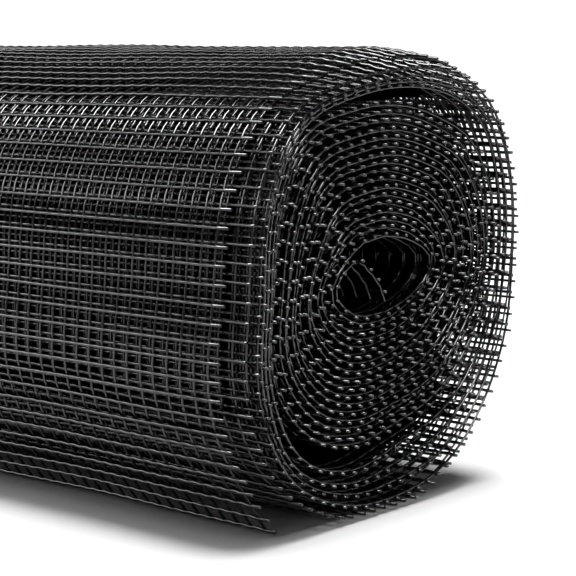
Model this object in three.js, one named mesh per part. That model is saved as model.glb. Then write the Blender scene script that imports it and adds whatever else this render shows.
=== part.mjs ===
// Roll of plastic garden mesh, lying on its side with its cut outer end hanging loose.
// Millimetres, +Z up, the roll's axis along X, the loose end on the -Y side.
// The origin is on the floor, under the middle of the roll.
import * as THREE from 'three';

// Driving dimensions
const MESH_WIDTH = 500;
const LAYER = 2;
const TURNS = 23;
const SECTORS = 36;
const FIT_GAP = 0.3;
const CORE_GAP = 0.7;

// Where the winding's middle stands: across the roll from its near side, and above the floor
const MIDDLE = { across: 61.5, up: 67 };

// The direction in which the outermost turn leaves the roll, and the innermost one begins
const END_ANGLE = 210;

// The open core is an oval
const CORE = { halfWidth: 21.8, halfHeight: 9, tilt: 6.4 };

// Turns at which the section below is measured, counted from the core
const TURN_AT = { pack: 17.67, loose: 18.17, under: 22, outer: 23 };

// Radius of the winding in each direction, seen from the +X end, anticlockwise from +Y.
// The turns up to pack are tight; a crescent gap above and below parts them from the loose ones.
const SECTION = [
  { angle: 0, pack: 50.2, loose: 51.5, under: 60.5, outer: 62.9 },
  { angle: 22.5, pack: 53.3, loose: 55.6, under: 65.2, outer: 67.6 },
  { angle: 45, pack: 54.0, loose: 60.0, under: 69.4, outer: 71.6 },
  { angle: 67.5, pack: 50.5, loose: 59.5, under: 68.0, outer: 70.0 },
  { angle: 90, pack: 50.0, loose: 58.3, under: 64.0, outer: 65.8 },
  { angle: 112.5, pack: 52.8, loose: 58.2, under: 63.6, outer: 65.3 },
  { angle: 135, pack: 59.0, loose: 61.4, under: 67.5, outer: 69.3 },
  { angle: 157.5, pack: 57.6, loose: 59.5, under: 66.4, outer: 68.6 },
  { angle: 180, pack: 55.5, loose: 56.9, under: 64.2, outer: 66.8 },
  { angle: 202.5, pack: 60.0, loose: 61.7, under: 69.4, outer: 73.3 },
  { angle: 225, pack: 57.5, loose: 64.5, under: 71.7, outer: 76.3 },
  { angle: 247.5, pack: 51.3, loose: 58.4, under: 69.8, outer: 73.8 },
  { angle: 270, pack: 44.2, loose: 49.3, under: 68.0, outer: 71.4 },
  { angle: 292.5, pack: 43.2, loose: 47.8, under: 67.6, outer: 70.4 },
  { angle: 315, pack: 44.3, loose: 48.7, under: 64.4, outer: 67.2 },
  { angle: 337.5, pack: 46.5, loose: 49.5, under: 62.4, outer: 64.9 },
];

// How far each turn's edge lies behind the foremost one, because the roll was wound askew
const EDGE_SETBACK = [
  { turn: 0, setback: 7 },
  { turn: 17.5, setback: 1.4 },
  { turn: 20, setback: 0.3 },
  { turn: 21, setback: 0 },
  { turn: 21.9, setback: 2.3 },
  { turn: 22.3, setback: 5 },
  { turn: 22.9, setback: 9.2 },
];
const WIDEST_SETBACK = 9.2;

// The foremost edge's place makes the whole part run equally far both ways along X
const EDGE_X = (MESH_WIDTH + WIDEST_SETBACK) / 2;

// The groove between two turns at the roll's ends, and the pocket where they stand apart
const GROOVE_DEPTH = 3;
const POCKET = { depth: 60, startsAt: 1, fullAt: 3, slack: 0.1 };

// Over the gap the loose turns' front edge sags
const SAG = { drop: 4.6, reach: 22, angle: 86, spread: 30, power: 1.3 };

// Rings of the outer wall, by their distance from the front edge
const WALL_RINGS = [7, 14, 22, 60];

// The loose outer end, from where it leaves the roll down to the floor, along its outer face.
// The last point lies under the floor, where the end is flattened by resting on it.
const OUTER_END = [
  { across: -1.7, up: 25.9 },
  { across: 3.4, up: 17.3 },
  { across: 9.2, up: 9.4 },
  { across: 17.4, up: -1.6 },
];

// The free part of the inner end, from the core's upper left across to its floor
const INNER_END = [
  { across: 52.6, up: 72.6 },
  { across: 55.8, up: 70.2 },
  { across: 58.9, up: 67.6 },
  { across: 61.8, up: 64.2 },
  { across: 63.6, up: 60.4 },
];

// Before that the inner end clings to the core's wall, between these directions
const CLINGS = { from: 207, to: 150, step: 19 };

// How finely a loose end's curve is divided between its points
const STEPS_PER_POINT = 3;

const LOOKS = {
  mesh: { color: 0x17181a, roughness: 0.42, metalness: 0 },
  outerEnd: { color: 0x1b1c1e, roughness: 0.42, metalness: 0 },
  innerEnd: { color: 0x131416, roughness: 0.45, metalness: 0 },
};

const toRadians = THREE.MathUtils.degToRad;

// A value between table rows, on a smooth closed curve through them
function roundTable(angle, column) {
  const step = 360 / SECTION.length;
  const place = THREE.MathUtils.euclideanModulo(angle, 360) / step;
  const row = Math.floor(place);
  const u = place - row;
  const at = (k) => SECTION[(row + k + SECTION.length) % SECTION.length][column];
  const [a, b, c, d] = [at(-1), at(0), at(1), at(2)];
  return b + 0.5 * u * (c - a + u * (2 * a - 5 * b + 4 * c - d + u * (3 * (b - c) + d - a)));
}

function coreRadius(angle) {
  const turned = toRadians(angle - CORE.tilt);
  const wide = CORE.halfHeight * Math.cos(turned);
  const high = CORE.halfWidth * Math.sin(turned);
  return (CORE.halfWidth * CORE.halfHeight) / Math.hypot(wide, high);
}

// Radius of the winding's surface in one direction, after a number of turns
function radiusAt(angle, turn) {
  const marks = [
    { turn: 0, radius: coreRadius(angle) },
    ...Object.entries(TURN_AT).map(([name, at]) => ({ turn: at, radius: roundTable(angle, name) })),
  ];
  const upper = Math.max(1, marks.findIndex((mark) => turn <= mark.turn));
  const [low, high] = [marks[upper - 1], marks[upper]];
  const share = (turn - low.turn) / (high.turn - low.turn);
  return THREE.MathUtils.lerp(low.radius, high.radius, share);
}

function setbackAt(turn) {
  const upper = EDGE_SETBACK.findIndex((row) => turn <= row.turn);
  if (upper < 0) return WIDEST_SETBACK;
  if (upper === 0) return EDGE_SETBACK[0].setback;
  const [low, high] = [EDGE_SETBACK[upper - 1], EDGE_SETBACK[upper]];
  return THREE.MathUtils.mapLinear(turn, low.turn, high.turn, low.setback, high.setback);
}

const frontEdge = (turn) => EDGE_X - setbackAt(turn);
const angleAt = (turn) => END_ANGLE + 360 * (turn - TURNS);

// A point of the winding, with the front edge's sag, never below the floor
function windingPoint(x, turn, radius) {
  const angle = angleAt(turn);
  const across = MIDDLE.across + radius * Math.cos(toRadians(angle));
  const level = MIDDLE.up + radius * Math.sin(toRadians(angle));
  const loose = THREE.MathUtils.smoothstep(turn, TURN_AT.pack, TURN_AT.loose);
  const out = Math.max(0, (x - EDGE_X + SAG.reach) / SAG.reach);
  const aside = THREE.MathUtils.euclideanModulo(angle - SAG.angle + 180, 360) - 180;
  const sag = SAG.drop * loose * out ** SAG.power * Math.exp(-((aside / SAG.spread) ** 2));
  return [x, across, Math.max(0, level - sag)];
}

// The roll: a spiral of ridges on each end, with the outer wall and the core's wall between
function woundRoll() {
  const positions = [];
  const triangles = [];
  const last = TURNS * SECTORS;
  const inner = last - SECTORS;

  const addPoint = (point) => positions.push(...point) / 3 - 1;
  const addTriangle = (a, b, c) => {
    if (a !== b && b !== c && c !== a) triangles.push(a, b, c);
  };
  const addQuad = (a, b, c, d) => {
    addTriangle(a, b, c);
    addTriangle(a, c, d);
  };

  // One end's points: a ridge on each turn, and the floor of the groove outside it
  const endPoints = (front) => {
    const ridge = [];
    const floorIn = [];
    const floorOut = [];
    const placeAt = (turn, depth) => {
      const edge = frontEdge(turn);
      return front ? edge - depth : edge - MESH_WIDTH + depth;
    };
    for (let i = 0; i <= last; i += 1) {
      const turn = i / SECTORS;
      const radius = radiusAt(angleAt(turn), turn);
      ridge.push(addPoint(windingPoint(placeAt(turn, 0), turn, radius)));
      if (i > inner) continue;
      const next = radiusAt(angleAt(turn), turn + 1);
      const clear = next - LAYER - radius;
      const atBorder = i === 0 || i === inner;
      const open = atBorder ? 0 : THREE.MathUtils.smoothstep(clear, POCKET.startsAt, POCKET.fullAt);
      const depth = THREE.MathUtils.lerp(GROOVE_DEPTH, POCKET.depth, open);
      const x = placeAt(turn + 1, depth);
      if (open > 0) {
        floorIn.push(addPoint(windingPoint(x, turn, radius + POCKET.slack * clear)));
        floorOut.push(addPoint(windingPoint(x, turn + 1, next - LAYER)));
      } else {
        floorIn.push(addPoint(windingPoint(x, turn + 1, (radius + next) / 2)));
        floorOut.push(floorIn.at(-1));
      }
    }
    return { ridge, floorIn, floorOut };
  };

  const addEnd = (end, front) => {
    const quad = front ? addQuad : (a, b, c, d) => addQuad(d, c, b, a);
    for (let i = 0; i < inner; i += 1) {
      const j = i + SECTORS;
      quad(end.ridge[i], end.floorIn[i], end.floorIn[i + 1], end.ridge[i + 1]);
      quad(end.floorIn[i], end.floorOut[i], end.floorOut[i + 1], end.floorIn[i + 1]);
      quad(end.floorOut[i], end.ridge[j], end.ridge[j + 1], end.floorOut[i + 1]);
    }
  };

  // A wall between the two ends' closed borders, through any rings given
  const addWall = (borders) => {
    for (let k = 0; k + 1 < borders.length; k += 1) {
      const [a, b] = [borders[k], borders[k + 1]];
      for (let i = 0; i < a.length; i += 1) {
        const n = (i + 1) % a.length;
        addQuad(a[i], b[i], b[n], a[n]);
      }
    }
  };

  const outerBorder = (end) => [...end.ridge.slice(inner), end.floorIn[inner]];
  const coreBorder = (end) => [end.floorIn[0], ...end.ridge.slice(0, SECTORS + 1).reverse()];

  // A ring of the outer wall, at one distance behind the front edge
  const wallRing = (distance) => {
    const ring = [];
    for (let i = inner; i <= last; i += 1) {
      const turn = i / SECTORS;
      ring.push(addPoint(windingPoint(frontEdge(turn) - distance, turn, radiusAt(angleAt(turn), turn))));
    }
    const midStep = (radiusAt(END_ANGLE, TURNS - 1) + radiusAt(END_ANGLE, TURNS)) / 2;
    ring.push(addPoint(windingPoint(frontEdge(TURNS) - distance, TURNS, midStep)));
    return ring;
  };

  const front = endPoints(true);
  const back = endPoints(false);
  addEnd(front, true);
  addEnd(back, false);
  addWall([outerBorder(front), ...WALL_RINGS.map(wallRing), outerBorder(back)]);
  addWall([coreBorder(front), coreBorder(back)]);

  const geometry = new THREE.BufferGeometry();
  geometry.setAttribute('position', new THREE.Float32BufferAttribute(positions, 3));
  geometry.setIndex(triangles);
  geometry.computeVertexNormals();
  return geometry;
}

// A sheet of one layer's thickness along a line in the roll's section, run along X.
// The line is its face on the side away from the roll's middle.
function sheetAlong(line, towardsMiddle, xFrom, xTo) {
  const curve = new THREE.CatmullRomCurve3(line.map(({ across, up }) => new THREE.Vector3(across, up, 0)));
  const steps = STEPS_PER_POINT * line.length;
  const face = [];
  const behind = [];
  for (let i = 0; i <= steps; i += 1) {
    const point = curve.getPoint(i / steps);
    const along = curve.getTangent(i / steps);
    const side = new THREE.Vector3(-along.y, along.x, 0).multiplyScalar(towardsMiddle * LAYER);
    face.push(new THREE.Vector2(point.x, Math.max(0, point.y)));
    behind.push(new THREE.Vector2(point.x + side.x, Math.max(0, point.y + side.y)));
  }
  const shape = new THREE.Shape([...face, ...behind.reverse()]);
  const geometry = new THREE.ExtrudeGeometry(shape, { depth: xTo - xFrom, bevelEnabled: false });
  geometry.translate(0, 0, xFrom);
  const [x, y, z] = [new THREE.Vector3(1, 0, 0), new THREE.Vector3(0, 1, 0), new THREE.Vector3(0, 0, 1)];
  return geometry.applyMatrix4(new THREE.Matrix4().makeBasis(y, z, x));
}

// The loose end goes on from the step in the roll's outer wall
function outerEnd() {
  const start = radiusAt(END_ANGLE, TURNS);
  const gapAngle = (THREE.MathUtils.radToDeg(1) * FIT_GAP) / start;
  const [, across, up] = windingPoint(0, TURNS + gapAngle / 360, start);
  const edge = frontEdge(TURNS);
  return sheetAlong([{ across, up }, ...OUTER_END], 1, edge - MESH_WIDTH, edge);
}

// The inner end clings to the core's left side, then crosses the core
function innerEnd() {
  const line = [];
  for (let angle = CLINGS.from; angle >= CLINGS.to; angle -= CLINGS.step) {
    const turned = (angle - END_ANGLE) / 360;
    const [, across, up] = windingPoint(0, turned, radiusAt(angle, 1 + turned) - CORE_GAP);
    line.push({ across, up });
  }
  const edge = frontEdge(0);
  return sheetAlong([...line, ...INNER_END], -1, edge - MESH_WIDTH, edge);
}

function piece(name, geometry, looks) {
  const mesh = new THREE.Mesh(geometry, new THREE.MeshStandardMaterial(looks));
  mesh.name = name;
  return mesh;
}

const group = new THREE.Group();
group.add(piece('wound_roll', woundRoll(), LOOKS.mesh));
group.add(piece('outer_end', outerEnd(), LOOKS.outerEnd));
group.add(piece('inner_end', innerEnd(), LOOKS.innerEnd));

// Across, the part is centred over its origin
const box = new THREE.Box3().setFromObject(group, true);
group.position.y = -(box.min.y + box.max.y) / 2;

export default group;
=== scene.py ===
"""Roll of plastic garden mesh, lying on its side: one length of black net wound into a loose spiral.

The net has two sets of strands. The cross strands run along the roll and lie on its outer face.
The long strands run round the roll under them. They are bonded where they cross.
Lengths here are in millimetres until a mesh is made, and the frame's own are in metres.
The cut edge isn't quite straight, so the foremost long strand lies now nearer to it, now further away.
"""

import logging
import math
from dataclasses import dataclass, field
from enum import Enum

import bpy
import numpy as np
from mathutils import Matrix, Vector


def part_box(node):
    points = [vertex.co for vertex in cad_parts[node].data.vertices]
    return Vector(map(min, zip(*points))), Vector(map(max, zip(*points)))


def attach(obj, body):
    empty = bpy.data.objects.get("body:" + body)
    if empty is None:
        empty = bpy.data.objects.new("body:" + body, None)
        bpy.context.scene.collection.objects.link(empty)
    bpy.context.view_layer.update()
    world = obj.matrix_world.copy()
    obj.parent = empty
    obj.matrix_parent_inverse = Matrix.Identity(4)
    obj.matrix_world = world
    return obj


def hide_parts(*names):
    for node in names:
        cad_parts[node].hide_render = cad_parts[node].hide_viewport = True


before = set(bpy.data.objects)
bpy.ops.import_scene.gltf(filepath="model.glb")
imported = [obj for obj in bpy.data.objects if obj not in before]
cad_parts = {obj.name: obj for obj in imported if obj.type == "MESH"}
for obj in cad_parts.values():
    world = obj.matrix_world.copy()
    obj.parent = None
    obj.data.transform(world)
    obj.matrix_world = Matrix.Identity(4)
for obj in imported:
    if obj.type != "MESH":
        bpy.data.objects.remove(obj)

LOG = logging.getLogger("garden_mesh")
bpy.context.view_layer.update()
ROOT = "root"
MM = 0.001
FULL_TURN = 360.0


class Zone(Enum):
    """How much of a stretch of cloth is built from strands, measured along the roll."""

    WHOLE_WIDTH = "whole width"
    FRONT = "front end"
    FAR = "far end"


@dataclass(frozen=True)
class SectionRow:
    """Radius of the winding in one direction, after four numbers of turns.

    Args:
        angle: Direction in degrees, seen from the +X end, anticlockwise from +Y; not used, as the rows are
            read as evenly spaced.
        pack: Where the tight turns end.
        loose: Where the loose turns begin.
        under: One turn below the outermost.
        outer: The outermost turn.
    """

    angle: float
    pack: float
    loose: float
    under: float
    outer: float


SECTION = (
    SectionRow(0, 50.2, 51.5, 60.5, 62.9),
    SectionRow(22.5, 53.3, 55.6, 65.2, 67.6),
    SectionRow(45, 54.0, 60.0, 69.4, 71.6),
    SectionRow(67.5, 50.5, 59.5, 68.0, 70.0),
    SectionRow(90, 50.0, 58.3, 64.0, 65.8),
    SectionRow(112.5, 52.8, 58.2, 63.6, 65.3),
    SectionRow(135, 59.0, 61.4, 67.5, 69.3),
    SectionRow(157.5, 57.6, 59.5, 66.4, 68.6),
    SectionRow(180, 55.5, 56.9, 64.2, 66.8),
    SectionRow(202.5, 60.0, 61.7, 69.4, 73.3),
    SectionRow(225, 57.5, 64.5, 71.7, 76.3),
    SectionRow(247.5, 51.3, 58.4, 69.8, 73.8),
    SectionRow(270, 44.2, 49.3, 68.0, 71.4),
    SectionRow(292.5, 43.2, 47.8, 67.6, 70.4),
    SectionRow(315, 44.3, 48.7, 64.4, 67.2),
    SectionRow(337.5, 46.5, 49.5, 62.4, 64.9),
)


def smoothstep(value: np.ndarray, low: float, high: float) -> np.ndarray:
    """Returns 0 below low, 1 above high and a smooth rise between."""
    share = np.clip((value - low) / (high - low), 0.0, 1.0)
    return share * share * (3.0 - 2.0 * share)


def through(points: np.ndarray, steps: int) -> np.ndarray:
    """Draws a smooth curve through points.

    Args:
        points: The points, one row each.
        steps: Samples between one point and the next.

    Returns:
        The samples, one row each, with both end points.
    """
    padded = np.vstack([2 * points[0] - points[1], points, 2 * points[-1] - points[-2]])
    u = np.linspace(0.0, 1.0, steps, endpoint=False)[:, None]
    parts = []
    for a, b, c, d in zip(padded, padded[1:], padded[2:], padded[3:]):
        parts.append(b + 0.5 * u * (c - a + u * (2 * a - 5 * b + 4 * c - d + u * (3 * (b - c) + d - a))))
    return np.vstack([*parts, points[-1:]])


@dataclass(frozen=True)
class Winding:
    """The roll's wound form: how far out each turn lies in each direction, and where its edge is."""

    turns: float = 23.0
    first_turn: float = 0.84
    end_angle: float = 210.0
    middle_across: float = 61.5
    middle_up: float = 67.0
    near_side: float = 58.534
    width: float = 500.0
    core_half_width: float = 21.8
    core_half_height: float = 9.0
    core_tilt: float = 6.4
    core_gap: float = 0.7
    layer: float = 1.65
    turn_marks: tuple[float, ...] = (0.0, 17.67, 18.17, 22.0, 23.0)
    setback_turns: tuple[float, ...] = (0.0, 17.5, 20.0, 21.0, 21.9, 22.3, 22.9)
    setbacks: tuple[float, ...] = (7.0, 1.4, 0.3, 0.0, 2.3, 5.0, 9.2)
    line_turns: tuple[float, ...] = (
        *(0.0, 2.0, 3.0, 4.4, 6.0, 7.6, 9.5, 11.5, 13.0, 14.3, 16.0),
        *(17.5, 20.0, 21.0, 21.9, 22.4, 22.9),
    )
    lines: tuple[float, ...] = (
        *(8.6, 7.4, 9.4, 6.8, 8.9, 5.6, 8.2, 4.7, 5.2, 3.4, 5.5),
        *(2.9, 1.6, 1.2, 3.5, 2.2, 3.6),
    )
    sag_drop: float = 4.6
    sag_reach: float = 22.0
    sag_angle: float = 86.0
    sag_spread: float = 30.0
    sag_power: float = 1.3
    floor_turn: float = 22.2

    @property
    def front(self) -> float:
        """Returns the foremost edge's place along the roll, from the CAD roll's box."""
        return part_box("wound_roll")[1].x / MM

    def angle(self, turn: np.ndarray) -> np.ndarray:
        """Returns the direction in degrees that a number of turns has reached."""
        return self.end_angle + FULL_TURN * (turn - self.turns)

    def column(self, name: str, angle: np.ndarray) -> np.ndarray:
        """Reads one column of the section between its rows.

        Args:
            name: The column.
            angle: Directions in degrees.

        Returns:
            Radii on a smooth closed curve through the rows.
        """
        values = np.array([getattr(row, name) for row in SECTION])
        place = np.mod(angle, FULL_TURN) / (FULL_TURN / len(values))
        row = np.floor(place).astype(int)
        u = place - row
        a, b, c, d = (values[(row + k) % len(values)] for k in (-1, 0, 1, 2))
        return b + 0.5 * u * (c - a + u * (2 * a - 5 * b + 4 * c - d + u * (3 * (b - c) + d - a)))

    def core_radius(self, angle: np.ndarray) -> np.ndarray:
        """Returns the radius of the oval core in each direction."""
        turned = np.radians(angle - self.core_tilt)
        wide = self.core_half_height * np.cos(turned)
        high = self.core_half_width * np.sin(turned)
        return self.core_half_width * self.core_half_height / np.hypot(wide, high)

    def radius(self, turn: np.ndarray) -> np.ndarray:
        """Returns the radius of the cloth's outer face after each number of turns."""
        angle = self.angle(turn)
        columns = ("pack", "loose", "under", "outer")
        radii = np.stack([self.core_radius(angle), *(self.column(name, angle) for name in columns)])
        marks = np.array(self.turn_marks)
        upper = np.clip(np.searchsorted(marks, turn), 1, len(marks) - 1)
        share = (turn - marks[upper - 1]) / (marks[upper] - marks[upper - 1])
        places = np.arange(len(turn))
        low, high = radii[upper - 1, places], radii[upper, places]
        return low + (high - low) * share

    def edge(self, turn: np.ndarray) -> np.ndarray:
        """Returns where the cloth's front edge lies along the roll on each turn."""
        return self.front - np.interp(turn, self.setback_turns, self.setbacks)

    def first_line(self, turn: np.ndarray) -> np.ndarray:
        """Returns where the foremost long strand lies along the roll on each turn, were it not cut off."""
        return self.front - np.interp(turn, self.line_turns, self.lines)

    def sag(self, along: np.ndarray, turn: np.ndarray) -> np.ndarray:
        """Says how far the loose turns' front edge drops over the gap under them.

        Args:
            along: Places along the roll.
            turn: Numbers of turns.

        Returns:
            The drop at each place.
        """
        loose = smoothstep(turn, self.turn_marks[1], self.turn_marks[2])
        out = np.maximum(0.0, (along - self.front + self.sag_reach) / self.sag_reach)
        half = FULL_TURN / 2
        aside = np.mod(self.angle(turn) - self.sag_angle + half, FULL_TURN) - half
        return self.sag_drop * loose * out**self.sag_power * np.exp(-((aside / self.sag_spread) ** 2))


@dataclass(frozen=True)
class LooseEnd:
    """A free end of the cloth, as points across the roll and above the floor, along its outer face."""

    points: tuple[tuple[float, float], ...]
    steps: int = 40


OUTER_END = LooseEnd(((-1.7, 25.9), (3.4, 17.3), (9.2, 9.4), (16.2, 0.2)))
INNER_END = LooseEnd(((52.6, 72.6), (55.8, 70.2), (58.9, 67.6), (61.8, 64.2), (63.6, 60.4)))


@dataclass(frozen=True)
class Place:
    """Places on the cloth: points in the roll's section, with the outward direction at each."""

    across: np.ndarray
    up: np.ndarray
    out_across: np.ndarray
    out_up: np.ndarray
    turn: np.ndarray
    edge: np.ndarray
    line: np.ndarray


@dataclass(frozen=True)
class Wave:
    """One wave of the cloth, in and out.

    Args:
        height: How far it stands out.
        count: How many times it comes round the roll.
        length: Its length along the roll, over a full circle in radians; below 0 it leans the other way.
        start: Where it starts, in radians.
    """

    height: float
    count: int
    length: float
    start: float


WAVES = (Wave(0.22, 3, 31.0, 0.4), Wave(0.16, 5, -19.0, 2.1), Wave(0.12, 8, 11.0, 4.0))


class Cloth:
    """The whole length of cloth, measured from its cut outer end inwards."""

    # Samples back into the winding from which each loose end takes its direction
    LEAD_OUT, LEAD_IN = 40, 60
    # The turns between which the innermost layer moves off the core's wall
    CLINGS = (0.98, 1.0)
    # How many of the outermost turns the floor flattens
    FLATTENED = 3

    def __init__(self, winding: Winding, spacing: float = 0.001) -> None:
        """Lays the cloth along its line in the roll's section.

        Args:
            winding: The wound form.
            spacing: Step between samples of the winding, in turns.
        """
        self.winding = winding
        turn = np.arange(winding.turns, winding.first_turn, -spacing)
        inset = winding.core_gap * smoothstep(-turn, -self.CLINGS[1], -self.CLINGS[0])
        radius = winding.radius(turn) - inset
        direction = np.radians(winding.angle(turn))
        across = winding.middle_across + radius * np.cos(direction)
        wound = np.stack([across, winding.middle_up + radius * np.sin(direction)], axis=1)
        floor = winding.layer * np.maximum(0.0, winding.floor_turn - turn)
        wound[:, 1] = np.maximum(wound[:, 1], np.where(turn > winding.turns - self.FLATTENED, floor, 0.0))
        outer = self.loose_end(wound[self.LEAD_OUT], wound[0], OUTER_END)
        inner = self.loose_end(wound[-self.LEAD_IN], wound[-1], INNER_END)
        line = np.vstack([outer[::-1], wound, inner])
        self.wound = slice(len(outer), len(outer) + len(wound))
        steps = np.linalg.norm(np.diff(line, axis=0), axis=1)
        self.length_at = np.concatenate([[0.0], np.cumsum(steps)])
        tangent = np.gradient(line, axis=0)
        tangent /= np.linalg.norm(tangent, axis=1, keepdims=True)
        self.line = line
        self.outward = np.stack([-tangent[:, 1], tangent[:, 0]], axis=1)
        self.turn = np.concatenate([np.full(len(outer), winding.turns), turn, np.full(len(inner), turn[-1])])

    @staticmethod
    def loose_end(before: np.ndarray, leaves: np.ndarray, end: LooseEnd) -> np.ndarray:
        """Draws a loose end on from the winding.

        Args:
            before: A point of the winding a little before the end leaves it.
            leaves: The point where the end leaves the winding.
            end: The loose end.

        Returns:
            The end's points, from the winding outwards.
        """
        return through(np.vstack([before, leaves, end.points]), end.steps)[end.steps + 1 :]

    @property
    def length(self) -> float:
        """Returns the cloth's whole length."""
        return float(self.length_at[-1])

    def reach(self, turn: float) -> float:
        """Returns how far from the outer end a number of turns is reached, or the end past all of them."""
        if turn > self.winding.turns or turn < 0:
            return 0.0 if turn > 0 else self.length
        return float(np.interp(-turn, -self.turn[self.wound], self.length_at[self.wound]))

    def at(self, distance: np.ndarray) -> Place:
        """Finds places on the cloth.

        Args:
            distance: Distances from the outer end.

        Returns:
            The places.
        """
        read = lambda values: np.interp(distance, self.length_at, values)
        turn = read(self.turn)
        return Place(
            read(self.line[:, 0]),
            read(self.line[:, 1]),
            read(self.outward[:, 0]),
            read(self.outward[:, 1]),
            turn,
            self.winding.edge(turn),
            self.winding.first_line(turn),
        )

    def points(
        self, distance: np.ndarray, along: np.ndarray, out: np.ndarray
    ) -> tuple[np.ndarray, np.ndarray]:
        """Places points on the cloth in the part's own frame.

        Args:
            distance: Distances from the outer end.
            along: Places along the roll.
            out: How far each point stands out from the cloth's outer face.

        Returns:
            The points and the outward directions there.
        """
        place = self.at(distance)
        shape = np.broadcast_shapes(place.across.shape, along.shape, out.shape)
        give = self.sway(place.turn, along)
        across = place.across + place.out_across * (out + give)
        up = place.up + place.out_up * (out + give)
        drop = self.winding.sag(np.broadcast_to(along, shape), np.broadcast_to(place.turn, shape))
        up = np.maximum(up - drop, -out)
        spots = np.stack(
            [
                np.broadcast_to(along, shape),
                across - self.winding.near_side,
                np.broadcast_to(up, shape),
            ],
            axis=-1,
        )
        ways = np.stack(
            [
                np.zeros(shape),
                np.broadcast_to(place.out_across, shape),
                np.broadcast_to(place.out_up, shape),
            ],
            axis=-1,
        )
        return spots, ways

    def sway(self, turn: np.ndarray, along: np.ndarray) -> np.ndarray:
        """Says how far the cloth waves in and out, all turns together.

        Args:
            turn: Numbers of turns.
            along: Places along the roll.

        Returns:
            The wave at each place, at most about half a millimetre.
        """
        way = np.radians(self.winding.angle(turn))
        phases = (wave.count * way + along / wave.length + wave.start for wave in WAVES)
        return sum(wave.height * np.sin(phase) for wave, phase in zip(WAVES, phases))


@dataclass(frozen=True)
class Strand:
    """One kind of strand.

    Args:
        diameter: Its thickness.
        depth: How far its middle lies behind the cloth's outer face at a crossing.
        bow: How far its middle stands out or in between two crossings, against that.
        wander: How far it strays sideways from its even place.
    """

    diameter: float
    depth: float
    bow: float
    wander: float


CROSS = Strand(diameter=1.0, depth=0.5, bow=-0.3, wander=0.2)
LONG = Strand(diameter=0.76, depth=1.24, bow=0.22, wander=0.2)


@dataclass(frozen=True)
class Net:
    """The net's spacings.

    Args:
        pitch: From one long strand to the next.
        row_pitch: From one cross strand to the next.
        end_stub: How far the long strands reach past the outermost cross strand.
        margin: The least distance of a long strand from the cut edge.
        ragged: How unevenly the edge is cut.
        tip_bow: How much of its bow a cross strand has at its cut tip.
    """

    pitch: float = 5.0
    row_pitch: float = 5.077
    end_stub: float = 1.0
    margin: float = 0.4
    ragged: float = 0.35
    tip_bow: float = 0.3


@dataclass
class TubeSet:
    """Joined tubes of one length in rings, ready to be made into a mesh."""

    rings: np.ndarray
    outwards: np.ndarray
    radius: float
    sides: int

    def corners(self) -> np.ndarray:
        """Returns every tube's corners, by strand, ring and side."""
        tangent = np.gradient(self.rings, axis=1)
        tangent /= np.linalg.norm(tangent, axis=2, keepdims=True)
        side = np.cross(tangent, self.outwards)
        side /= np.linalg.norm(side, axis=2, keepdims=True)
        out = np.cross(side, tangent)
        turn = 2 * np.pi * (np.arange(self.sides) + 0.5) / self.sides
        spokes = np.cos(turn)[:, None] * out[:, :, None] + np.sin(turn)[:, None] * side[:, :, None]
        return self.rings[:, :, None] + self.radius * spokes


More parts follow.
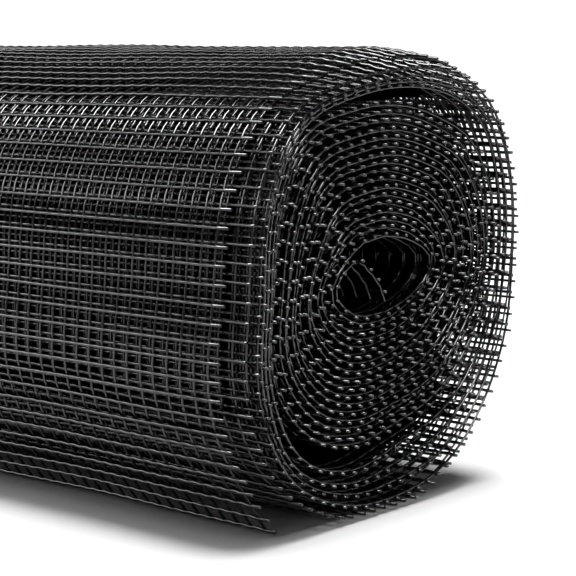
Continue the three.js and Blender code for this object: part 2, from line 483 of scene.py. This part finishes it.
class NetMesh:
    """Collects sets of tubes and makes one mesh object of them, with a map on which no two faces overlap."""

    # The shares of the map that a tube's wall fills, along it and round it, and where its end caps lie
    WALL_WIDE, WALL_HIGH = 0.98, 0.96
    CAP_AT, CAP_SIZE = (0.99, 0.5), (0.008, 0.3)

    def __init__(self, name: str) -> None:
        """Starts an empty mesh with that name."""
        self.name = name
        self.vertices: list[np.ndarray] = []
        self.faces: list[np.ndarray] = []
        self.maps: list[np.ndarray] = []
        self.smooth: list[np.ndarray] = []
        self.count = 0

    def add(self, tubes: TubeSet) -> None:
        """Adds a set of tubes, closed at both ends."""
        corners = tubes.corners()
        strands, rings, sides = corners.shape[:3]
        index = self.count + np.arange(strands * rings * sides).reshape(strands, rings, sides)
        after = np.roll(index, -1, axis=2)
        walls = np.stack([index[:, :-1], after[:, :-1], after[:, 1:], index[:, 1:]], axis=-1).reshape(-1, 4)
        row = np.arange(strands)[:, None, None] * sides + np.arange(sides)
        v = (row / (strands * sides)) * np.ones((1, rings - 1, 1))
        u = np.arange(rings - 1)[None, :, None] / rings + np.zeros_like(v)
        high, wide = self.WALL_HIGH / (strands * sides), self.WALL_WIDE / rings
        spots = [(u, v), (u, v + high), (u + wide, v + high), (u + wide, v)]
        self.maps.append(np.stack([np.stack(s, axis=-1) for s in spots], axis=-2).reshape(-1, 2))
        self.vertices.append(corners.reshape(-1, 3))
        self.faces.append(walls)
        self.smooth.append(np.ones(len(walls), bool))
        for cap in (index[:, 0, ::-1], index[:, -1]):
            self.faces.append(cap)
            turn = 2 * np.pi * np.arange(sides) / sides
            u = self.CAP_AT[0] + self.CAP_SIZE[0] * np.cos(turn)
            ring = np.stack([u, self.CAP_AT[1] + self.CAP_SIZE[1] * np.sin(turn)], axis=-1)
            self.maps.append(np.tile(ring, (strands, 1)))
            self.smooth.append(np.zeros(strands, bool))
        self.count += strands * rings * sides

    def triangles(self) -> int:
        """Returns how many triangles the mesh will have."""
        return sum(len(faces) * (faces.shape[1] - 2) for faces in self.faces)

    def build(self) -> bpy.types.Object:
        """Returns the finished object, in metres."""
        mesh = bpy.data.meshes.new(self.name)
        vertices = np.vstack(self.vertices) * MM
        loops = np.concatenate([faces.ravel() for faces in self.faces])
        sizes = np.concatenate([np.full(len(faces), faces.shape[1]) for faces in self.faces])
        mesh.vertices.add(len(vertices))
        mesh.vertices.foreach_set("co", vertices.astype(np.float32).ravel())
        mesh.loops.add(len(loops))
        mesh.loops.foreach_set("vertex_index", loops.astype(np.int32))
        mesh.polygons.add(len(sizes))
        mesh.polygons.foreach_set("loop_start", (np.cumsum(sizes) - sizes).astype(np.int32))
        mesh.polygons.foreach_set("use_smooth", np.concatenate(self.smooth))
        mesh.update(calc_edges=True)
        layer = mesh.uv_layers.new(name="OFBake")
        layer.uv.foreach_set("vector", np.vstack(self.maps).astype(np.float32).ravel())
        made = bpy.data.objects.new(self.name, mesh)
        bpy.context.scene.collection.objects.link(made)
        return made


@dataclass
class Weaver:
    """Lays the net's strands on the cloth, with the small unevenness that a seed gives."""

    cloth: Cloth
    net: Net = field(default_factory=Net)
    seed: int = 7
    stray_waves: int = 3
    stray_lengths: tuple[float, float] = (9.0, 60.0)

    def __post_init__(self) -> None:
        """Starts the row of random draws."""
        self.random = np.random.default_rng(self.seed)

    def rows(self, start: float, end: float) -> np.ndarray:
        """Returns the distances of the cross strands that lie from start up to end."""
        first = math.ceil((start - self.net.end_stub) / self.net.row_pitch)
        last = math.ceil((min(end, self.cloth.length) - self.net.end_stub) / self.net.row_pitch)
        return self.net.end_stub + self.net.row_pitch * np.arange(max(first, 0), last)

    def stray(self, strands: int, places: np.ndarray, amount: float) -> np.ndarray:
        """Makes each strand stray a little from its even place.

        Args:
            strands: How many strands.
            places: Places along a strand.
            amount: The most it strays.

        Returns:
            How far each strand is off at each place.
        """
        shape = (strands, self.stray_waves, 1)
        phase = self.random.uniform(0, 2 * np.pi, shape)
        reach = self.random.uniform(*self.stray_lengths, shape)
        return amount * np.sin(places / reach + phase).mean(axis=1)

    def span(self, place: Place, zone: Zone, cells: int) -> tuple[np.ndarray, np.ndarray]:
        """Finds which long strands lie within the cloth's cut edges, counted from the foremost.

        Args:
            place: Places on the cloth.
            zone: Which part of the width is laid.
            cells: How many cells deep that part is.

        Returns:
            The first and the last strand at each place.
        """
        net = self.net
        first = np.ceil((place.line - place.edge + net.margin) / net.pitch)
        last = np.floor((place.line - place.edge + self.cloth.winding.width - net.margin) / net.pitch)
        if zone is Zone.FRONT:
            last = first + cells
        if zone is Zone.FAR:
            first = last - cells
        return first.astype(int), last.astype(int)

    def cross(
        self, start: float, end: float, zone: Zone, cells: int, sides: int, rings: int
    ) -> list[TubeSet]:
        """Lays the cross strands of a stretch of cloth.

        Args:
            start: Where the stretch begins, from the outer end.
            end: Where it ends.
            zone: Which part of the width is laid.
            cells: How many cells deep that part is.
            sides: Sides of a strand.
            rings: Rings of a strand from one crossing to the next.

        Returns:
            The strands' tubes, a set for each number of crossings.
        """
        rows = self.rows(start, end)
        place = self.cloth.at(rows)
        spans = np.stack(self.span(place, zone, cells), axis=1)
        sets = []
        for first, last in np.unique(spans, axis=0):
            chosen = np.all(spans == (first, last), axis=1)
            steps = first + np.arange((last - first) * rings + 1) / rings
            bow = 1.0 - np.cos(np.pi * np.mod(steps, 1.0)) ** 2
            back = self.net.pitch * steps
            along = place.line[chosen][:, None] - back[None, :]
            count = len(along)
            ends = self.random.uniform(-self.net.ragged, self.net.ragged, (count, 2))
            if zone is not Zone.FAR:
                tip = place.edge[chosen][:, None] + ends[:, :1]
                along, bow = np.hstack([tip, along]), np.concatenate([[self.net.tip_bow], bow])
            if zone is not Zone.FRONT:
                tip = place.edge[chosen][:, None] - self.cloth.winding.width + ends[:, 1:]
                along, bow = np.hstack([along, tip]), np.concatenate([bow, [self.net.tip_bow]])
            distance = rows[chosen][:, None] + self.stray(count, along[0], CROSS.wander)
            out = np.broadcast_to(-CROSS.depth + CROSS.bow * bow, along.shape)
            sets.append(TubeSet(*self.cloth.points(distance, along, out), CROSS.diameter / 2, sides))
        return sets

    def long(
        self, start: float, end: float, zone: Zone, cells: int, sides: int, rings: int
    ) -> list[TubeSet]:
        """Lays the long strands of a stretch of cloth.

        Args:
            start: Where the stretch begins, from the outer end.
            end: Where it ends.
            zone: Which part of the width is laid.
            cells: How many cells deep that part is.
            sides: Sides of a strand.
            rings: Rings of a strand from one crossing to the next.

        Returns:
            The strands' tubes, a set for each stretch between the cut edges.
        """
        thickness = LONG.diameter / 2
        rows = self.rows(start, end)
        steps = np.arange(len(rows) * rings + 1) / rings
        distance = rows[0] + self.net.row_pitch * steps
        bow = np.sin(np.pi * np.mod(steps, 1.0)) ** 2
        if rows[0] <= self.net.end_stub:
            distance = np.concatenate([[0.0], distance])
            bow = np.concatenate([[0.0], bow])
        distance = np.minimum(distance, self.cloth.length)
        place = self.cloth.at(distance)
        first, last = self.span(place, zone, cells)
        strands = np.arange(first.min(), last.max() + 1)
        within = (strands[:, None] >= first) & (strands[:, None] <= last)
        stray = self.stray(len(strands), distance, LONG.wander)
        along = place.line[None, :] - self.net.pitch * strands[:, None] + stray
        out = np.broadcast_to(-LONG.depth + LONG.bow * bow, along.shape)
        spots, ways = self.cloth.points(np.broadcast_to(distance, along.shape), along, out)
        whole = within.all(axis=1)
        sets = [TubeSet(spots[whole], ways[whole], thickness, sides)]
        for strand in np.flatnonzero(~whole):
            changes = np.flatnonzero(np.diff(np.concatenate([[0], within[strand].astype(int), [0]])))
            for low, high in zip(changes[::2], changes[1::2]):
                if high - low > 1:
                    part = (strand, None, slice(low, high))
                    sets.append(TubeSet(spots[part], ways[part], thickness, sides))
        return sets


def add_node(
    tree: bpy.types.NodeTree, kind: str, settings: dict | None = None, inputs: dict | None = None
) -> bpy.types.Node:
    """Adds a node with its settings and links.

    Args:
        tree: The node tree.
        kind: The node's type name.
        settings: The node's own settings.
        inputs: Values, or sockets to link from, by input name or number.

    Returns:
        The node.
    """
    node = tree.nodes.new(kind)
    for name, value in (settings or {}).items():
        setattr(node, name, value)
    for key, value in (inputs or {}).items():
        if isinstance(value, bpy.types.NodeSocket):
            tree.links.new(value, node.inputs[key])
        else:
            node.inputs[key].default_value = value
    return node


def linear(colour: str) -> tuple[float, float, float, float]:
    """Turns an sRGB hex colour to linear light.

    Args:
        colour: Six hex digits.

    Returns:
        Red, green, blue and an alpha of 1.
    """
    parts = [int(colour[i : i + 2], 16) / 255 for i in (0, 2, 4)]
    return (*(p / 12.92 if p <= 0.04045 else ((p + 0.055) / 1.055) ** 2.4 for p in parts), 1.0)


@dataclass(frozen=True)
class ExtrudedPolyethylene:
    """Black polyethylene strand, drawn smooth from a die.

    To the eye it is near black and glossy: each strand carries one thin bright line, which is a little duller
    where handling has scuffed it. A second copy, near black and without sheen, is painted shade: it colours
    the sheet that stands for the shade deep among the inner turns.

    Args:
        name: The material's name.
        black: Its darkest colour.
        worn_and_shade: Its colour where it is scuffed or dusty; on the sheet's copy it is painted shade, as
            black is there.
        roughness: Its typical roughness.
        smoother: How much less rough its cleanest patches are.
        rougher: How much rougher its most scuffed patches are.
        shine: Its specular level.
        ior: Its refractive index.
        scuff_size: Size of a scuffed patch in millimetres.
        scuff_detail: How finely a patch's rim is broken up.
        scuff_range: The noise values of a clean and of a scuffed patch.
    """

    name: str
    black: str = "060607"
    worn_and_shade: str = "101012"
    roughness: float = 0.17
    smoother: float = 0.05
    rougher: float = 0.08
    shine: float = 0.5
    ior: float = 1.51
    scuff_size: float = 6.0
    scuff_detail: float = 3.0
    scuff_range: tuple[float, float] = (0.3, 0.7)

    def build(self) -> bpy.types.Material:
        """Returns the material."""
        material = bpy.data.materials.new(self.name)
        material.use_nodes = True
        tree = material.node_tree
        tree.nodes.clear()
        where = add_node(tree, "ShaderNodeTexCoord").outputs["Object"]
        scale = 1 / (self.scuff_size * MM)
        scuffs = add_node(
            tree, "ShaderNodeTexNoise", {}, {"Vector": where, "Scale": scale, "Detail": self.scuff_detail}
        ).outputs["Fac"]
        colour = add_node(
            tree,
            "ShaderNodeMix",
            {"data_type": "RGBA"},
            {"Factor": scuffs, "A": linear(self.black), "B": linear(self.worn_and_shade)},
        )
        gloss = add_node(
            tree,
            "ShaderNodeMapRange",
            {},
            {
                "Value": scuffs,
                "From Min": self.scuff_range[0],
                "From Max": self.scuff_range[1],
                "To Min": self.roughness - self.smoother,
                "To Max": self.roughness + self.rougher,
            },
        )
        shader = add_node(
            tree,
            "ShaderNodeBsdfPrincipled",
            {},
            {
                "Base Color": colour.outputs["Result"],
                "Roughness": gloss.outputs["Result"],
                "IOR": self.ior,
                "Specular IOR Level": self.shine,
            },
        )
        add_node(tree, "ShaderNodeOutputMaterial", {}, {"Surface": shader.outputs["BSDF"]})
        return material


@dataclass(frozen=True)
class Overhead:
    """Soft light from above.

    Args:
        name: Its name.
        strength: Its strength in watts per square metre.
        spread: How wide the light's source seems, in degrees.
        tilt: How far it leans from straight overhead to the roll's near side, in degrees.
        sheen: Whether it also shows as a sheen on the strands.
    """

    name: str
    strength: float
    spread: float
    tilt: float
    sheen: bool


@dataclass(frozen=True)
class Softbox:
    """A large far softbox that shows only as a sheen on the strands.

    Args:
        name: Its name.
        at: Where it stands, in metres.
        size: Its sides, in metres.
        radiance: How bright its face is.
    """

    name: str
    at: tuple[float, float, float]
    size: tuple[float, float]
    radiance: float


OVERHEADS = (
    Overhead("key", 4.6, 28.0, 6.0, sheen=False),
    Overhead("fill", 0.2, 178.0, 0.0, sheen=True),
)
SOFTBOXES = (
    Softbox("left_softbox", (-1.6, -0.9, 0.9), (1.6, 0.7), 10.0),
    Softbox("top_softbox", (0.2, -0.6, 1.7), (2.4, 0.8), 42.0),
    Softbox("near_strip", (0.0, -1.7, 0.9), (2.0, 0.25), 14.0),
)


@dataclass(frozen=True)
class Studio:
    """A pale floor, soft light and the camera, whose places are in millimetres and turns in degrees."""

    camera_at: tuple[float, float, float] = (556.2, -403.8, 131.9)
    camera_turn: float = 40.3
    camera_dip: float = 7.595
    focal_pixels: float = 1800.0
    picture_pixels: float = 576.0
    sensor: float = 36.0
    floor_size: float = 8.0
    near_clip: float = 0.01
    floor_colour: str = "f4f4f4"
    floor_roughness: float = 0.9
    world_strength: float = 1.1
    aim: tuple[float, float, float] = (0.0, 0.0, 0.06)

    def camera(self) -> None:
        """Makes the camera."""
        data = bpy.data.cameras.new("camera")
        data.sensor_width = self.sensor
        data.lens = self.focal_pixels / self.picture_pixels * self.sensor
        data.clip_start = self.near_clip
        camera = bpy.data.objects.new("camera", data)
        camera.location = Vector(self.camera_at) * MM
        camera.rotation_euler = (math.radians(90 - self.camera_dip), 0.0, math.radians(self.camera_turn))
        bpy.context.scene.collection.objects.link(camera)
        bpy.context.scene.camera = camera

    def floor(self) -> None:
        """Makes the floor."""
        half = self.floor_size / 2
        mesh = bpy.data.meshes.new("floor")
        corners = [(-half, -half, 0), (half, -half, 0), (half, half, 0), (-half, half, 0)]
        mesh.from_pydata(corners, [], [(0, 1, 2, 3)])
        floor = bpy.data.objects.new("floor", mesh)
        bpy.context.scene.collection.objects.link(floor)
        material = bpy.data.materials.new("floor_paper")
        material.use_nodes = True
        shader = material.node_tree.nodes["Principled BSDF"]
        shader.inputs["Base Color"].default_value = linear(self.floor_colour)
        shader.inputs["Roughness"].default_value = self.floor_roughness
        mesh.materials.append(material)

    def softbox(self, box: Softbox) -> None:
        """Hangs one softbox."""
        data = bpy.data.lights.new(box.name, "AREA")
        data.shape = "RECTANGLE"
        data.size, data.size_y = box.size
        data.energy = box.radiance * math.pi * box.size[0] * box.size[1]
        lamp = bpy.data.objects.new(box.name, data)
        lamp.location = box.at
        lamp.rotation_euler = (Vector(self.aim) - Vector(box.at)).to_track_quat("-Z", "Y").to_euler()
        lamp.visible_camera = False
        lamp.visible_diffuse = False
        bpy.context.scene.collection.objects.link(lamp)

    def overhead(self, light: Overhead) -> None:
        """Hangs one light straight above, or nearly so."""
        data = bpy.data.lights.new(light.name, "SUN")
        data.energy = light.strength
        data.angle = math.radians(light.spread)
        lamp = bpy.data.objects.new(light.name, data)
        lamp.rotation_euler = (math.radians(-light.tilt), 0.0, 0.0)
        lamp.visible_camera = False
        lamp.visible_glossy = light.sheen
        bpy.context.scene.collection.objects.link(lamp)

    def light(self) -> None:
        """Makes the white backdrop and the lamps."""
        world = bpy.data.worlds.new("surround")
        world.use_nodes = True
        background = world.node_tree.nodes["Background"]
        background.inputs["Color"].default_value = (1.0, 1.0, 1.0, 1.0)
        background.inputs["Strength"].default_value = self.world_strength
        world.cycles_visibility.diffuse = False
        world.cycles_visibility.glossy = False
        bpy.context.scene.world = world
        for light in OVERHEADS:
            self.overhead(light)
        for box in SOFTBOXES:
            self.softbox(box)
        bpy.context.scene.view_settings.view_transform = "Standard"

    def build(self) -> None:
        """Makes the whole studio."""
        self.camera()
        self.floor()
        self.light()


def dress(piece: bpy.types.Object, material: bpy.types.Material, *nodes: str) -> bpy.types.Object:
    """Gives a piece its material and body, and hides the CAD nodes that it stands for.

    Args:
        piece: The piece.
        material: Its material.
        nodes: The CAD nodes that it stands for.

    Returns:
        The piece.
    """
    piece.data.materials.append(material)
    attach(piece, ROOT)
    if nodes:
        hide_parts(*nodes)
    LOG.info("%s: %d faces", piece.name, len(piece.data.polygons))
    return piece


@dataclass(frozen=True)
class Stretch:
    """One stretch of cloth that is built from strands.

    Args:
        name: The piece's name.
        turns: The numbers of turns between which it lies, the outer one first.
        cross: Sides and rings to a cell of its cross strands, none if it has no such strands.
        long: The same of its long strands.
        zone: Which part of the width is built.
        cells: How many cells deep that part is.
        node: The CAD node that it stands for.
    """

    name: str
    turns: tuple[float, float]
    cross: tuple[int, int] | None = None
    long: tuple[int, int] | None = None
    zone: Zone = Zone.WHOLE_WIDTH
    cells: int = 0
    node: str | None = None


OUTERMOST, INNERMOST = 99.0, -1.0
STRETCHES = (
    Stretch("loose_end", (OUTERMOST, 23), (6, 4), (6, 2), node="outer_end"),
    Stretch("outer_turn_cross_near", (23, 22.5), cross=(5, 3)),
    Stretch("outer_turn_cross_far", (22.5, 22), cross=(5, 3)),
    Stretch("outer_turn_long", (23, 22), long=(5, 2)),
    Stretch("second_turn_cross", (22, 21), cross=(4, 2)),
    Stretch("second_turn_long", (22, 21), long=(4, 1)),
    Stretch("third_turn", (21, 20), (3, 1), (3, 1)),
    Stretch("loose_turns_front", (20, 17), (4, 1), (4, 1), Zone.FRONT, 12),
    Stretch("loose_turns_far", (20, 17), (4, 1), (4, 1), Zone.FAR, 8),
    Stretch("tight_turns_front", (17, 2), (4, 1), (4, 1), Zone.FRONT, 4),
    Stretch("tight_turns_far", (17, 2), (4, 1), (4, 1), Zone.FAR, 2),
    Stretch("core_turn_front", (2, 0.84), (4, 1), (4, 1), Zone.FRONT, 11),
    Stretch("core_turn_far", (2, 0.84), (4, 1), (4, 1), Zone.FAR, 8),
    Stretch("inner_end_strands", (0.84, INNERMOST), (5, 2), (5, 2), node="inner_end"),
)


@dataclass(frozen=True)
class Sheet:
    """The wound sheet in place of turns where no single strand can be seen. Its near-black colour without
    sheen is painted shade, for the shade deep among many layers of net.

    Args:
        turns: The numbers of turns between which it lies, the outer one first.
        core_turns: Where it first keeps clear of the open core.
        loose_turns: Between which turns the tight winding gives way to the loose one.
        core_front: How far it lies behind the front edge round the core.
        front: The same on every other turn.
        open_front: The same in the open directions of the loose turns, where light shines through them.
        core_far: How far it lies inside the far edge round the core and on the loose turns.
        far: The same on the tight turns.
        open_angle: The middle of the open directions, in degrees.
        open_spread: How far to both sides they begin and end to close, in degrees.
        depth: How far it lies under the cloth's outer face.
        step: From one of its points to the next, round the roll.
        columns: How many points it has along the roll.
    """

    turns: tuple[float, float] = (20, 1)
    core_turns: tuple[float, float] = (1.9, 2.0)
    loose_turns: tuple[float, float] = (17.0, 17.1)
    core_front: float = 50.0
    front: float = 12.0
    open_front: float = 55.0
    core_far: float = 36.0
    far: float = 8.0
    open_angle: float = 8.0
    open_spread: tuple[float, float] = (42.0, 54.0)
    depth: float = 1.6
    step: float = 5.0
    columns: int = 12


@dataclass
class Roll:
    """The roll of net: every stretch of cloth, from the outermost turn to the core."""

    cloth: Cloth
    weaver: Weaver
    sheet: Sheet = field(default_factory=Sheet)

    def strands(self, stretch: Stretch, material: bpy.types.Material) -> bpy.types.Object:
        """Builds one stretch of cloth from its strands.

        Args:
            stretch: The stretch.
            material: The strands' finish.

        Returns:
            The piece.
        """
        start, end = (self.cloth.reach(turn) for turn in stretch.turns)
        mesh = NetMesh(stretch.name)
        for lay, fineness in ((self.weaver.cross, stretch.cross), (self.weaver.long, stretch.long)):
            if fineness:
                for tubes in lay(start, end, stretch.zone, stretch.cells, *fineness):
                    mesh.add(tubes)
        LOG.info("%s: %d triangles", stretch.name, mesh.triangles())
        return dress(mesh.build(), material, *filter(None, [stretch.node]))

    def hidden_turns(self, material: bpy.types.Material) -> bpy.types.Object:
        """Builds the inner turns where no single strand can be seen, as one wound sheet in painted shade.

        Args:
            material: The sheet's finish, a near-black painted shade.

        Returns:
            The piece.
        """
        sheet, winding = self.sheet, self.cloth.winding
        start, end = (self.cloth.reach(turn) for turn in sheet.turns)
        distance = np.linspace(start, end, int((end - start) / sheet.step) + 1)
        place = self.cloth.at(distance)
        loose = smoothstep(place.turn, *sheet.loose_turns)
        half = FULL_TURN / 2
        aside = np.abs(np.mod(winding.angle(place.turn) - sheet.open_angle + half, FULL_TURN) - half)
        shut = smoothstep(aside, *sheet.open_spread)
        front = np.interp(place.turn, sheet.core_turns, (sheet.core_front, sheet.front))
        front = front + (sheet.open_front - sheet.front) * loose * (1.0 - shut)
        marks = (*sheet.core_turns, *sheet.loose_turns)
        far = np.interp(place.turn, marks, (sheet.core_far, sheet.far, sheet.far, sheet.core_far))
        share = np.linspace(0.0, 1.0, sheet.columns)
        back = front[:, None] + share * (winding.width - front - far)[:, None]
        around = np.broadcast_to(distance[:, None], back.shape)
        spots, _ = self.cloth.points(around, place.edge[:, None] - back, np.full((1, 1), -sheet.depth))
        rows, columns = spots.shape[:2]
        index = np.arange(rows * columns).reshape(rows, columns)
        corners = [index[:-1, :-1], index[1:, :-1], index[1:, 1:], index[:-1, 1:]]
        faces = np.stack(corners, axis=-1).reshape(-1, 4)
        mesh = bpy.data.meshes.new("hidden_turns")
        mesh.from_pydata((spots.reshape(-1, 3) * MM).tolist(), [], faces.tolist())
        mesh.polygons.foreach_set("use_smooth", np.ones(len(faces), bool))
        piece = bpy.data.objects.new("hidden_turns", mesh)
        bpy.context.scene.collection.objects.link(piece)
        return dress(piece, material, "wound_roll")

    def build(self) -> None:
        strand = ExtrudedPolyethylene("extruded_polyethylene_strand").build()
        # A copy of the strand's material, near black and without sheen: painted shade for the sheet in place
        # of the inner turns.
        dark = ExtrudedPolyethylene(
            "extruded_polyethylene_painted_shade", black="010101", worn_and_shade="020202", roughness=0.9, shine=0.0
        ).build()
        strands = [self.strands(stretch, strand) for stretch in STRETCHES]
        sheet = self.hidden_turns(dark)
        outer, inner = self.sheet.turns
        stretch = (self.cloth.reach(inner) - self.cloth.reach(outer)) * MM
        LOG.info("cloth: %.0f mm long", self.cloth.length)


def main() -> None:
    """Builds the studio and the roll."""
    logging.basicConfig(level=logging.INFO)
    Studio().build()
    cloth = Cloth(Winding())
    Roll(cloth, Weaver(cloth)).build()


if __name__ == "__main__":
    main()
